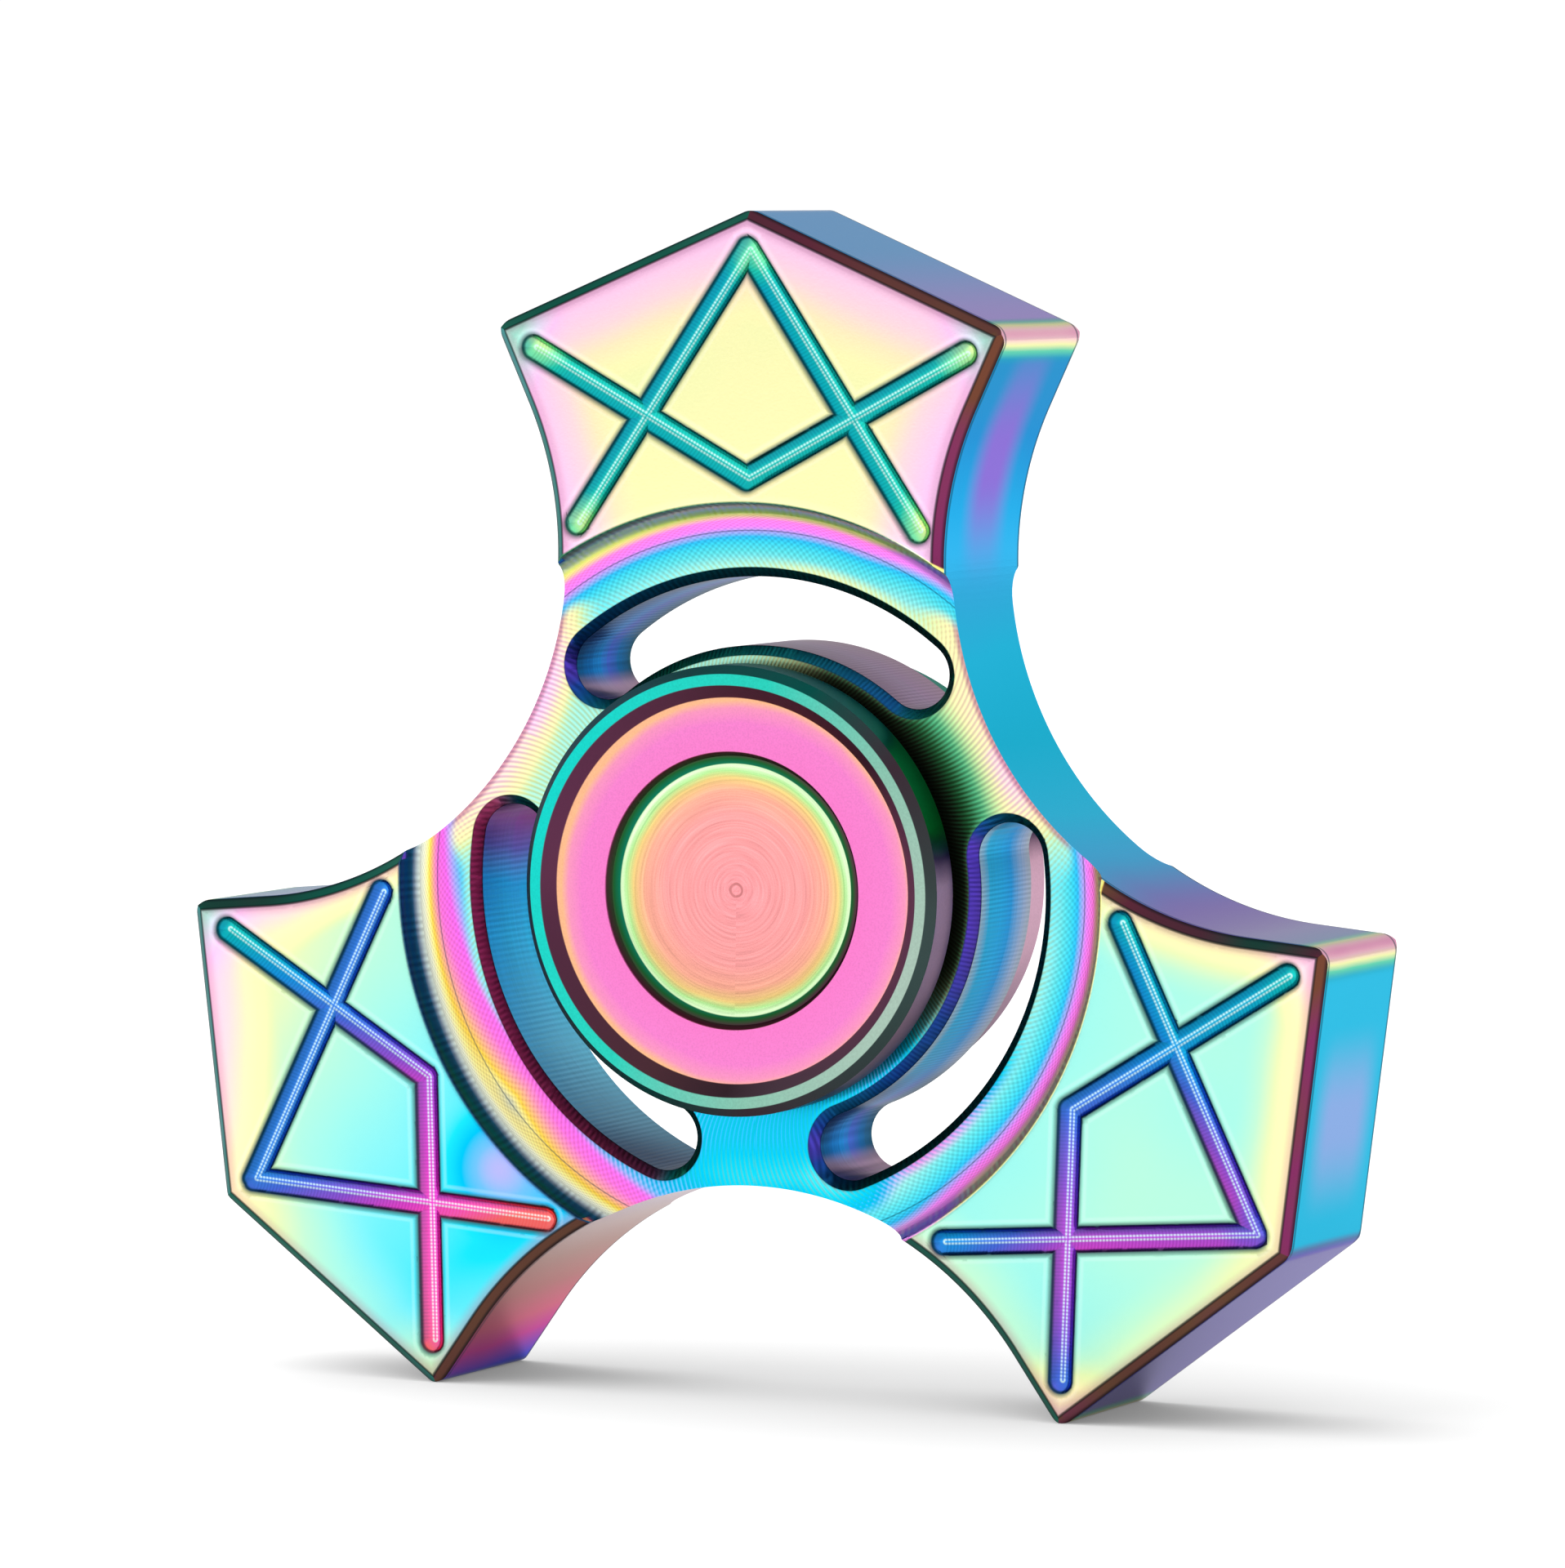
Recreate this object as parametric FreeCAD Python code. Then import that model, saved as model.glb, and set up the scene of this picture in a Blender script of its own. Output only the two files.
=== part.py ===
"""Three-armed hand spinner: a milled body that turns on a small ball bearing between two caps.

All sizes are in millimetres. X is right, Y is back and Z is up. The spin axis is Y, and the
origin is the bearing's centre. The spinner stands on the corners of its two lower arms.
"""
import FreeCAD
import Part
import math
import os

from FreeCAD import Vector

# Body outline, in the upper arm's own directions: u across the arm, v outward from the axis
ARM_COUNT = 3
TIP_REACH = 31.9           # axis to the apex of a tip
CORNER_HALF_WIDTH = 13.25  # half width of a tip across its two corners
CORNER_REACH = 26.3        # axis to the line through those corners
HOLLOW_REACH = 14.15       # axis to the bottom of the hollow between two arms
HOLLOW_RADIUS = 16.9       # radius of that hollow
APEX_ROUND = 1.2
CORNER_ROUND = 0.8

# Body thickness and the turned recess on both faces
PAD_THICKNESS = 9.65
EDGE_CHAMFER = 0.45
FLOOR_THICKNESS = 6.8
RECESS_RADIUS = 18.1
RECESS_FILLET = 1.3

# Curved slot through each arm
SLOT_MIDDLE_RADIUS = 13.0
SLOT_HALF_WIDTH = 1.62
SLOT_END_ANGLE = 38.2      # degrees from the arm's centre line to the centre of the slot's end
SLOT_CHAMFER = 0.48

# Two crossed chevrons cut in each pad with a ball-nosed cutter
GROOVE_BALL_RADIUS = 0.7
GROOVE_DEPTH = 0.42
UPPER_CHEVRON = ((0.0, 30.0), (8.815, 17.02))
LOWER_CHEVRON = ((0.0, 19.275), (11.135, 25.264))

# Bearing of the R188 size: 12.7 outside, 6.35 bore, 4.7625 wide
BEARING_OUTER_RADIUS = 6.35
BEARING_BORE_RADIUS = 3.175
BEARING_WIDTH = 4.7625
BALL_RADIUS = 0.794
BALL_COUNT = 10
PITCH_RADIUS = (BEARING_OUTER_RADIUS + BEARING_BORE_RADIUS) / 2
RACE_RADIUS = BALL_RADIUS + 0.032
INNER_LAND_RADIUS = 4.22
OUTER_LAND_RADIUS = 5.31
RING_CORNER = 0.2
CAGE_INNER_RADIUS = 4.45
CAGE_OUTER_RADIUS = 5.08
CAGE_BACK = 1.2            # from the balls' plane to the closed side of the cage
CAGE_FRONT = 0.55          # from the balls' plane to its open side
POCKET_RADIUS = BALL_RADIUS + 0.056
SHIELD_INNER_RADIUS = 4.37
SHIELD_SEAT_RADIUS = 5.65
SHIELD_SEAT = 1.55         # from the balls' plane to the shield's inner face
SHIELD_THICKNESS = 0.25
CLIP_WIRE_RADIUS = 0.14
CLIP_GROOVE_RADIUS = 5.76
CLIP_GROOVE_WIDTH = 0.3
CLIP_GAP_ANGLE = 24.0
FIT_GAP = 0.01             # radial gap of the ring in its bore and the spigots in the ring

# Bearing seat in the body, closed by a threaded ring from behind
LIP_RADIUS = 5.75
RETAINER_RADIUS = 7.0
RETAINER_THICKNESS = 0.85
SPANNER_HOLE_RADIUS = 0.35
SPANNER_HOLE_CIRCLE = 6.4
THREAD_GAP = 0.02

# Caps: distances along the axis are from the bearing's centre plane
CAP_RADIUS = 10.6
CAP_BACK = 4.5
CAP_BACK_CHAMFER = 0.15
RIM_TOP = 6.77
RIM_OUTER_RADIUS = 10.2
RIM_BEVEL = 0.45
RIM_INNER_RADIUS = 9.67
ANNULUS_TOP = 6.2
ANNULUS_OUTER_RADIUS = 9.07
ANNULUS_INNER_RADIUS = 6.55
DISC_RADIUS = 5.95
DISC_EDGE = 5.72
DISC_CENTRE = 5.6
BOSS_RADIUS = 4.1
SPIGOT_END = 0.2
STUD_RADIUS = 1.5
STUD_HOLE_END = 3.9
STUD_HALF_LENGTH = 3.6
STUD_CHAMFER = 0.3
DRILL_POINT_ANGLE = 31.0   # slope of a drilled hole's bottom, in degrees

AXIS = Vector(0, 1, 0)
ORIGIN = Vector(0, 0, 0)


def at(u, v, y=0.0):
    return Vector(u, y, v)


def polar(radius, degrees, y=0.0):
    """A point at an angle from the upper arm's centre line, clockwise seen from the front."""
    angle = math.radians(degrees)
    return at(radius * math.sin(angle), radius * math.cos(angle), y)


def turned_about_axis(shape, degrees):
    copy = shape.copy()
    copy.rotate(ORIGIN, AXIS, degrees)
    return copy


def flipped(shape):
    """The same piece facing the other way along the axis."""
    copy = shape.copy()
    copy.rotate(ORIGIN, Vector(0, 0, 1), 180)
    return copy


def arc(start, middle, end):
    return Part.Arc(start, middle, end).toShape()


def turned(start, *steps):
    """A solid of revolution. Each step is a line to (radius, y), or an arc through one such
    point to another."""
    edges = []
    here = Vector(start[0], start[1], 0)
    for step in steps + (start,):
        if isinstance(step[0], tuple):
            middle = Vector(step[0][0], step[0][1], 0)
            there = Vector(step[1][0], step[1][1], 0)
            edges.append(arc(here, middle, there))
        else:
            there = Vector(step[0], step[1], 0)
            edges.append(Part.makeLine(here, there))
        here = there
    return Part.Face(Part.Wire(edges)).revolve(ORIGIN, AXIS, 360)


def corner_arc(before, corner, after, radius):
    """Start, middle and end of the arc that rounds a corner between two straight sides."""
    back = (before - corner).normalize()
    ahead = (after - corner).normalize()
    half_angle = back.getAngle(ahead) / 2
    inward = (back + ahead).normalize()
    middle = corner + inward * (radius / math.sin(half_angle) - radius)
    reach = radius / math.tan(half_angle)
    return corner + back * reach, middle, corner + ahead * reach


def flank_tangent():
    """Where the straight flank from a tip's corner meets the hollow beside it."""
    centre = polar(HOLLOW_REACH + HOLLOW_RADIUS, 60)
    to_corner = at(CORNER_HALF_WIDTH, CORNER_REACH) - centre
    swing = math.acos(HOLLOW_RADIUS / to_corner.Length)
    heading = math.atan2(to_corner.z, to_corner.x) + swing
    return centre + at(HOLLOW_RADIUS * math.cos(heading), HOLLOW_RADIUS * math.sin(heading))


def mirrored_point(point):
    return Vector(-point.x, point.y, point.z)


def arm_outline():
    """Edges round one arm, left flank to right flank, and the hollow after it."""
    apex = at(0, TIP_REACH)
    corner = at(CORNER_HALF_WIDTH, CORNER_REACH)
    tangent = flank_tangent()
    top = corner_arc(mirrored_point(corner), apex, corner, APEX_ROUND)
    side = corner_arc(apex, corner, tangent, CORNER_ROUND)
    other_side = [mirrored_point(point) for point in reversed(side)]
    next_tangent = FreeCAD.Rotation(AXIS, 120).multVec(mirrored_point(tangent))
    return [
        Part.makeLine(mirrored_point(tangent), other_side[0]),
        arc(*other_side),
        Part.makeLine(other_side[2], top[0]),
        arc(*top),
        Part.makeLine(top[2], side[0]),
        arc(*side),
        Part.makeLine(side[2], tangent),
        arc(tangent, polar(HOLLOW_REACH, 60), next_tangent),
    ]


def body_blank():
    """The full-thickness plate with its outer edges chamfered on both faces."""
    edges = []
    for arm in range(ARM_COUNT):
        edges += [turned_about_axis(edge, 120 * arm) for edge in arm_outline()]
    face = Part.Face(Part.Wire(edges))
    face.translate(AXIS * (-PAD_THICKNESS / 2))
    plate = face.extrude(AXIS * PAD_THICKNESS)
    rims = [e for e in plate.Edges if abs(abs(e.CenterOfMass.y) - PAD_THICKNESS / 2) < 1e-6]
    return plate.makeChamfer(EDGE_CHAMFER, rims)


def recess_cutter():
    floor = FLOOR_THICKNESS / 2
    flat_radius = RECESS_RADIUS - RECESS_FILLET
    slope = RECESS_FILLET * math.sqrt(0.5)
    arc_middle = (flat_radius + slope, floor + RECESS_FILLET - slope)
    return turned(
        (0, floor),
        (flat_radius, floor),
        (arc_middle, (RECESS_RADIUS, floor + RECESS_FILLET)),
        (RECESS_RADIUS, PAD_THICKNESS),
        (0, PAD_THICKNESS),
    )


def slot_cutter():
    """The curved slot of the upper arm, through the whole thickness."""
    outer = SLOT_MIDDLE_RADIUS + SLOT_HALF_WIDTH
    inner = SLOT_MIDDLE_RADIUS - SLOT_HALF_WIDTH
    end = SLOT_END_ANGLE
    end_tip = polar(SLOT_MIDDLE_RADIUS, end) + polar(SLOT_HALF_WIDTH, 90 + end)
    wire = Part.Wire([
        arc(polar(outer, -end), polar(outer, 0), polar(outer, end)),
        arc(polar(outer, end), end_tip, polar(inner, end)),
        arc(polar(inner, end), polar(inner, 0), polar(inner, -end)),
        arc(polar(inner, -end), mirrored_point(end_tip), polar(outer, -end)),
    ])
    face = Part.Face(wire)
    face.translate(AXIS * -PAD_THICKNESS)
    return face.extrude(AXIS * (2 * PAD_THICKNESS))


def groove_leg(start, end, y):
    """A round-ended channel between two points of a pad."""
    first = at(start[0], start[1], y)
    last = at(end[0], end[1], y)
    along = last - first
    leg = Part.makeCylinder(GROOVE_BALL_RADIUS, along.Length, first, along)
    ends = [Part.makeSphere(GROOVE_BALL_RADIUS, point) for point in (first, last)]
    return leg.fuse(ends)


def groove_cutter():
    """Both chevrons on both faces of the upper arm's pad."""
    y = PAD_THICKNESS / 2 + GROOVE_BALL_RADIUS - GROOVE_DEPTH
    legs = []
    for middle, end in (UPPER_CHEVRON, LOWER_CHEVRON):
        for side in (-1, 1):
            for face in (-1, 1):
                legs.append(groove_leg(middle, (side * end[0], end[1]), face * y))
    return legs[0].fuse(legs[1:])


def cylinder(radius, start, end):
    return Part.makeCylinder(radius, end - start, AXIS * start, AXIS)


def rotor_body():
    body = body_blank()
    recess = recess_cutter()
    body = body.cut([recess, flipped(recess)])
    slots = [turned_about_axis(slot_cutter(), 120 * arm) for arm in range(ARM_COUNT)]
    body = body.cut(slots)
    body = body.makeChamfer(SLOT_CHAMFER, slot_edges(body))
    grooves = [turned_about_axis(groove_cutter(), 120 * arm) for arm in range(ARM_COUNT)]
    body = body.cut(grooves)
    half = BEARING_WIDTH / 2
    lip = cylinder(LIP_RADIUS, -PAD_THICKNESS, PAD_THICKNESS)
    seat = cylinder(BEARING_OUTER_RADIUS + FIT_GAP, -half, PAD_THICKNESS)
    thread = cylinder(RETAINER_RADIUS + THREAD_GAP, half, PAD_THICKNESS)
    return body.cut([lip, seat, thread])


def slot_edges(body):
    """The slots' sharp edges on the two recess floors."""
    outer = SLOT_MIDDLE_RADIUS + SLOT_HALF_WIDTH + 0.01
    found = []
    for edge in body.Edges:
        on_floor = abs(abs(edge.CenterOfMass.y) - FLOOR_THICKNESS / 2) < 1e-6
        reach = max(math.hypot(v.X, v.Z) for v in edge.Vertexes)
        if on_floor and reach < outer:
            found.append(edge)
    return found


def retaining_ring():
    """Threaded ring with two spanner holes, which holds the bearing in the body."""
    half = BEARING_WIDTH / 2
    top = half + RETAINER_THICKNESS
    ring = cylinder(RETAINER_RADIUS, half, top).cut(cylinder(LIP_RADIUS, half, top))
    hole = Part.makeCylinder(
        SPANNER_HOLE_RADIUS, RETAINER_THICKNESS, at(SPANNER_HOLE_CIRCLE, 0, half), AXIS
    )
    return ring.cut([hole, turned_about_axis(hole, 180)])


def race_half_height(land_radius):
    return math.sqrt(RACE_RADIUS ** 2 - (land_radius - PITCH_RADIUS) ** 2)


def bearing_outer_ring():
    half = BEARING_WIDTH / 2
    race = race_half_height(OUTER_LAND_RADIUS)
    bevel = BEARING_OUTER_RADIUS - RING_CORNER
    clip_start = SHIELD_SEAT + SHIELD_THICKNESS
    clip_end = clip_start + CLIP_GROOVE_WIDTH
    return turned(
        (bevel, -half),
        (BEARING_OUTER_RADIUS, RING_CORNER - half),
        (BEARING_OUTER_RADIUS, half - RING_CORNER),
        (bevel, half),
        (SHIELD_SEAT_RADIUS, half),
        (SHIELD_SEAT_RADIUS, clip_end),
        (CLIP_GROOVE_RADIUS, clip_end),
        (CLIP_GROOVE_RADIUS, clip_start),
        (SHIELD_SEAT_RADIUS, clip_start),
        (SHIELD_SEAT_RADIUS, SHIELD_SEAT),
        (OUTER_LAND_RADIUS, SHIELD_SEAT),
        (OUTER_LAND_RADIUS, race),
        ((PITCH_RADIUS + RACE_RADIUS, 0), (OUTER_LAND_RADIUS, -race)),
        (OUTER_LAND_RADIUS, -SHIELD_SEAT),
        (SHIELD_SEAT_RADIUS, -SHIELD_SEAT),
        (SHIELD_SEAT_RADIUS, -clip_start),
        (CLIP_GROOVE_RADIUS, -clip_start),
        (CLIP_GROOVE_RADIUS, -clip_end),
        (SHIELD_SEAT_RADIUS, -clip_end),
        (SHIELD_SEAT_RADIUS, -half),
    )


def bearing_inner_ring():
    half = BEARING_WIDTH / 2
    race = race_half_height(INNER_LAND_RADIUS)
    bevel = BEARING_BORE_RADIUS + RING_CORNER
    return turned(
        (bevel, -half),
        (INNER_LAND_RADIUS, -half),
        (INNER_LAND_RADIUS, -race),
        ((PITCH_RADIUS - RACE_RADIUS, 0), (INNER_LAND_RADIUS, race)),
        (INNER_LAND_RADIUS, half),
        (bevel, half),
        (BEARING_BORE_RADIUS, half - RING_CORNER),
        (BEARING_BORE_RADIUS, RING_CORNER - half),
    )


def ball_centres():
    return [polar(PITCH_RADIUS, 360 * n / BALL_COUNT) for n in range(BALL_COUNT)]


def ball_cage():
    """Crown cage: a ring with a round pocket for each ball, open on one side."""
    ring = cylinder(CAGE_OUTER_RADIUS, -CAGE_BACK, CAGE_FRONT)
    ring = ring.cut(cylinder(CAGE_INNER_RADIUS, -CAGE_BACK, CAGE_FRONT))
    reach = 2 * BALL_RADIUS
    pockets = []
    for centre in ball_centres():
        outward = centre * (1 / PITCH_RADIUS)
        start = centre - outward * reach
        pockets.append(Part.makeCylinder(POCKET_RADIUS, 2 * reach, start, outward))
    return ring.cut(pockets)


def bearing_shield():
    """Thin washer that covers the balls, in the rear seat of the outer ring."""
    top = SHIELD_SEAT + SHIELD_THICKNESS
    outer = SHIELD_SEAT_RADIUS - FIT_GAP
    washer = cylinder(outer, SHIELD_SEAT, top)
    return washer.cut(cylinder(SHIELD_INNER_RADIUS, SHIELD_SEAT, top))


def shield_clip():
    """Split wire ring that holds the rear shield in its seat."""
    y = SHIELD_SEAT + SHIELD_THICKNESS + CLIP_GROOVE_WIDTH / 2
    centre_radius = CLIP_GROOVE_RADIUS - FIT_GAP - CLIP_WIRE_RADIUS
    start = Vector(centre_radius, y, 0)
    circle = Part.makeCircle(CLIP_WIRE_RADIUS, start, Vector(0, 0, 1))
    section = Part.Face(Part.Wire([circle]))
    return section.revolve(ORIGIN, AXIS, 360 - CLIP_GAP_ANGLE)


def rear_cap():
    """Finger rest with a sunk centre, and the boss and spigot that locate it in the bearing."""
    step = (DISC_RADIUS, DISC_EDGE)
    width = ANNULUS_INNER_RADIUS - DISC_RADIUS
    height = ANNULUS_TOP - DISC_EDGE
    radius = (width ** 2 + height ** 2) / (2 * height)
    half_turn = math.asin(width / radius) / 2
    step_middle = (
        DISC_RADIUS + radius * math.sin(half_turn),
        DISC_EDGE + radius * (1 - math.cos(half_turn)),
    )
    dish_middle = (DISC_RADIUS / 2, DISC_CENTRE + (DISC_EDGE - DISC_CENTRE) / 4)
    spigot = BEARING_BORE_RADIUS - FIT_GAP
    drill_point = STUD_HOLE_END + STUD_RADIUS * math.tan(math.radians(DRILL_POINT_ANGLE))
    return turned(
        (0, DISC_CENTRE),
        (dish_middle, step),
        (step_middle, (ANNULUS_INNER_RADIUS, ANNULUS_TOP)),
        (ANNULUS_OUTER_RADIUS, ANNULUS_TOP),
        (RIM_INNER_RADIUS, RIM_TOP),
        (RIM_OUTER_RADIUS, RIM_TOP),
        (CAP_RADIUS, RIM_TOP - RIM_BEVEL),
        (CAP_RADIUS, CAP_BACK + CAP_BACK_CHAMFER),
        (CAP_RADIUS - CAP_BACK_CHAMFER, CAP_BACK),
        (BOSS_RADIUS, CAP_BACK),
        (BOSS_RADIUS, BEARING_WIDTH / 2),
        (spigot, BEARING_WIDTH / 2),
        (spigot, SPIGOT_END),
        (STUD_RADIUS, SPIGOT_END),
        (STUD_RADIUS, STUD_HOLE_END),
        (0, drill_point),
    )


def cap_stud():
    """Threaded stud that draws the two caps together through the bearing."""
    radius = STUD_RADIUS - THREAD_GAP
    return turned(
        (0, -STUD_HALF_LENGTH),
        (radius - STUD_CHAMFER, -STUD_HALF_LENGTH),
        (radius, STUD_CHAMFER - STUD_HALF_LENGTH),
        (radius, STUD_HALF_LENGTH - STUD_CHAMFER),
        (radius - STUD_CHAMFER, STUD_HALF_LENGTH),
        (0, STUD_HALF_LENGTH),
    )


def all_parts():
    parts = {
        "rotor_body": rotor_body(),
        "retaining_ring": retaining_ring(),
        "bearing_outer_ring": bearing_outer_ring(),
        "bearing_inner_ring": bearing_inner_ring(),
        "bearing_shield_rear": bearing_shield(),
        "bearing_shield_front": flipped(bearing_shield()),
        "shield_clip_rear": shield_clip(),
        "shield_clip_front": flipped(shield_clip()),
        "ball_cage": ball_cage(),
        "cap_rear": rear_cap(),
        "cap_front": flipped(rear_cap()),
        "cap_stud": cap_stud(),
    }
    for number, centre in enumerate(ball_centres(), start=1):
        parts[f"ball_{number:02d}"] = Part.makeSphere(BALL_RADIUS, centre)
    return parts


def main():
    os.makedirs("parts", exist_ok=True)
    for name, shape in all_parts().items():
        if not shape.isValid() or shape.Volume <= 0:
            raise RuntimeError(f"{name} is not a valid solid")
        shape.exportStep(f"parts/{name}.step")
        box = shape.BoundBox
        print(
            f"{name}: {shape.Volume:.2f} mm3, {len(shape.Solids)} solid,"
            f" y {box.YMin:.2f} to {box.YMax:.2f}, z {box.ZMin:.2f} to {box.ZMax:.2f},"
            f" x {box.XMin:.2f} to {box.XMax:.2f}"
        )


main()
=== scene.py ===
import math

import bmesh
import bpy
import numpy as np
from mathutils import Matrix, Vector
from mathutils.geometry import delaunay_2d_cdt


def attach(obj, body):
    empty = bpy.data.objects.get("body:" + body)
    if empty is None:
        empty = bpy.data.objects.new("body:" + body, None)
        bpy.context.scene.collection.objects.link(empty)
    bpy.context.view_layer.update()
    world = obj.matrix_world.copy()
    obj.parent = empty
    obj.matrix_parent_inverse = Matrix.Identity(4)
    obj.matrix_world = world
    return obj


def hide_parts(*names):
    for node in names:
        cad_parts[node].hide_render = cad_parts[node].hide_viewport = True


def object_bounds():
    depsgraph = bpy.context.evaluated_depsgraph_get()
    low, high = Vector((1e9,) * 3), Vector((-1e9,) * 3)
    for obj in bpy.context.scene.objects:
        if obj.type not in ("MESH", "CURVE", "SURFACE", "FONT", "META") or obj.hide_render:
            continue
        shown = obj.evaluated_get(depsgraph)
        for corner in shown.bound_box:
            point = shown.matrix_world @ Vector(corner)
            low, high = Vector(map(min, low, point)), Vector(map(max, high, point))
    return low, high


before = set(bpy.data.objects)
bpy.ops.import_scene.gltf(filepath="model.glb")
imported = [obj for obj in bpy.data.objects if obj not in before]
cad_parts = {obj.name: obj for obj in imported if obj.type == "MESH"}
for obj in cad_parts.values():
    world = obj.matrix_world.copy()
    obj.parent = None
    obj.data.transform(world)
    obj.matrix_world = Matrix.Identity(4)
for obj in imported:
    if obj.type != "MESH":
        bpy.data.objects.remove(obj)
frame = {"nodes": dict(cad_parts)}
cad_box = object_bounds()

# Sizes are in millimetres, and MM turns them into the scene's metres.
MM = 0.001

# Camera: where it looks, and from how far and which side
LOOK_AT = Vector((1.88, -4.57, 4.99))
CAMERA_DISTANCE = 442.3
CAMERA_AZIMUTH = math.radians(24.74)
CAMERA_ELEVATION = math.radians(3.80)
CAMERA_ROLL = math.radians(0.33)
CAMERA_LENS = 216.7

# Body outline, in one arm's own directions: u across the arm, v outward from the axis
TIP_REACH = 31.9
CORNER = np.array((13.25, 26.3))
HOLLOW_REACH = 14.15
HOLLOW_RADIUS = 16.9
APEX_ROUND = 1.2
CORNER_ROUND = 0.8
PAD_TOP = 4.825            # from the middle plane to a pad's face
FLOOR_TOP = 3.4            # and to the floor of the turned recess
RECESS_RADIUS = 18.1
RECESS_FILLET = 1.3
SLOT_RADIUS = 13.0
SLOT_HALF_WIDTH = 1.62
SLOT_END = math.radians(38.2)
SLOT_CHAMFER = 0.48
BORE_RADIUS = 7.02
LIP_RADIUS = 5.75
BEARING_RADIUS = 6.36
BEARING_HALF_WIDTH = 2.38
GROOVE_RADIUS = 0.7
GROOVE_DEPTH = 0.42
UPPER_CHEVRON = (np.array((0.0, 30.0)), np.array((8.815, 17.02)))
LOWER_CHEVRON = (np.array((0.0, 19.275)), np.array((11.135, 25.264)))
APEX = np.array((0.0, TIP_REACH))
# Caps, by distance from the axis
DISC_RADIUS = 5.95
RING_RADIUS = 6.55
RIM_STEP = 9.07
RIM_RADIUS = 9.67
BEVEL_RADIUS = 10.2
CAP_RADIUS = 10.6
CAP_TOP = 6.77             # from the middle plane to a cap's rim
RING_TOP = 6.2
CAP_BACK = 4.5
BOSS_RADIUS = 4.1
WEDGE = math.radians(60)   # half an arm, from its centre line to the middle of a hollow
WALL_TOP_ROW = 0.12        # height of the walls' first row of faces
WELD_DISTANCE = 0.004
CAP_SEGMENTS = 192
SEAT_SEGMENTS = 96
BODY_SHARP_ANGLE = math.radians(28)
CAP_SHARP_ANGLE = math.radians(20)

# Stage. Light levels are shares of full white.
FLOOR_SIZE = 4.0
FLOOR_GAP = 0.01
FLOOR_WHITE = 0.8
FLOOR_GLOW = 0.16
WHITE_LIGHT = 1.05         # walls as the camera sees them
METAL_LIGHT = 0.91         # walls as the metal reflects them
WALL_LIGHT = 0.86          # walls as they light the floor
SOFT_LIGHT = 2.4
SOFT_LIGHT_SPREAD = math.radians(90)
SOFT_LIGHT_FROM = Vector((-1.0, -0.25, 1.05))
EDGE_TINT = (0.55, 0.55, 0.55, 1)   # keeps the coating's colour at grazing angles


# ---------------------------------------------------------------- plan shape of half an arm

def unit(vector):
    return vector / np.linalg.norm(vector)


def heading(angle):
    """Direction at an angle from the arm's centre line."""
    return np.array((math.sin(angle), math.cos(angle)))


HOLLOW_CENTRE = (HOLLOW_REACH + HOLLOW_RADIUS) * heading(WEDGE)


def flank_tangent():
    """Where the straight flank below a tip's corner meets the hollow."""
    to_corner = CORNER - HOLLOW_CENTRE
    swing = math.acos(HOLLOW_RADIUS / np.linalg.norm(to_corner))
    angle = math.atan2(to_corner[1], to_corner[0]) + swing
    return HOLLOW_CENTRE + HOLLOW_RADIUS * np.array((math.cos(angle), math.sin(angle)))


TANGENT = flank_tangent()
ROOF = unit(CORNER - APEX)
ROOF_NORMAL = np.array((-ROOF[1], ROOF[0]))
FLANK = unit(TANGENT - CORNER)
FLANK_NORMAL = np.array((-FLANK[1], FLANK[0]))


def arc_points(centre, start, end, radius, step, outward=1):
    """Points and outward normals along an arc between two angles."""
    count = max(2, int(abs(end - start) * radius / step))
    found = []
    for n in range(count + 1):
        angle = start + (end - start) * n / count
        spoke = np.array((math.cos(angle), math.sin(angle)))
        found.append((centre + radius * spoke, outward * spoke))
    return found


def line_points(start, end, normal, step):
    count = max(1, int(np.linalg.norm(end - start) / step))
    return [(start + (end - start) * n / count, normal) for n in range(1, count)]


def outline():
    """Points and outward normals from the apex round to the middle of the hollow."""
    roof_angle = math.atan2(ROOF_NORMAL[1], ROOF_NORMAL[0])
    flank_angle = math.atan2(FLANK_NORMAL[1], FLANK_NORMAL[0])
    apex_centre = APEX - np.array((0, APEX_ROUND / math.sin(roof_angle)))
    inward = FLANK - ROOF
    half_angle = math.acos(np.dot(-ROOF, FLANK)) / 2
    corner_centre = CORNER + unit(inward) * CORNER_ROUND / math.sin(half_angle)
    apex_arc = arc_points(apex_centre, math.pi / 2, roof_angle, APEX_ROUND, 0.12)
    corner_arc = arc_points(corner_centre, roof_angle, flank_angle, CORNER_ROUND, 0.12)
    to_tangent = TANGENT - HOLLOW_CENTRE
    to_middle = -heading(WEDGE)
    start = math.atan2(to_tangent[1], to_tangent[0])
    end = math.atan2(to_middle[1], to_middle[0]) + 2 * math.pi
    hollow = arc_points(HOLLOW_CENTRE, start, end, HOLLOW_RADIUS, 0.35, -1)
    roof = line_points(apex_arc[-1][0], corner_arc[0][0], ROOF_NORMAL, 0.6)
    flank = line_points(corner_arc[-1][0], hollow[0][0], FLANK_NORMAL, 0.5)
    return apex_arc + roof + corner_arc + flank + hollow


def edge_distance(point):
    """How far inside the body's outline a point of the half arm is."""
    roof = np.dot(APEX - point, ROOF_NORMAL)
    if np.dot(point - TANGENT, FLANK) < 0:
        return min(roof, np.dot(CORNER - point, FLANK_NORMAL))
    return min(roof, np.linalg.norm(point - HOLLOW_CENTRE) - HOLLOW_RADIUS)


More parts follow.
